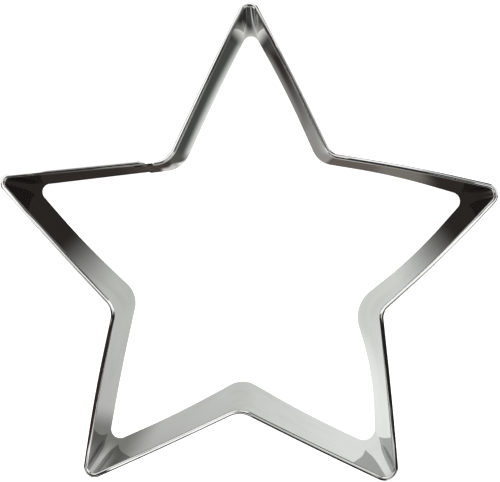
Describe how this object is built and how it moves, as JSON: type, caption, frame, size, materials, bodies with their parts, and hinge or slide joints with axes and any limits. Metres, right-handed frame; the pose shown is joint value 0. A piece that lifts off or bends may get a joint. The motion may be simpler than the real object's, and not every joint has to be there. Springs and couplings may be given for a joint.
{
  "type": "star cookie cutter",
  "caption": "Star-shaped cookie cutter bent from one lapped, spot-welded strip of polished sheet, with a rolled grip rim on top and a plain cutting edge below.",
  "frame": {"origin": "middle of the outline's box on the plane of the cutting edge, where the cutter rests on the dough", "axes": "+Z from the cutting edge up to the rolled rim, the way the hand presses back; +Y towards the top tip of the star as pictured; +X to its right"},
  "size_m": [0.121, 0.1164, 0.022],
  "materials": {
    "strip_steel": "polished stainless sheet with fine scratches across its height",
    "weld_steel": "electrode-dimpled, slightly darker than the sheet"
  },
  "bodies": {
    "root": {"star_band": "strip_steel", "spot_weld_1": "weld_steel", "spot_weld_2": "weld_steel", "spot_weld_3": "weld_steel"}
  },
  "joints": []
}
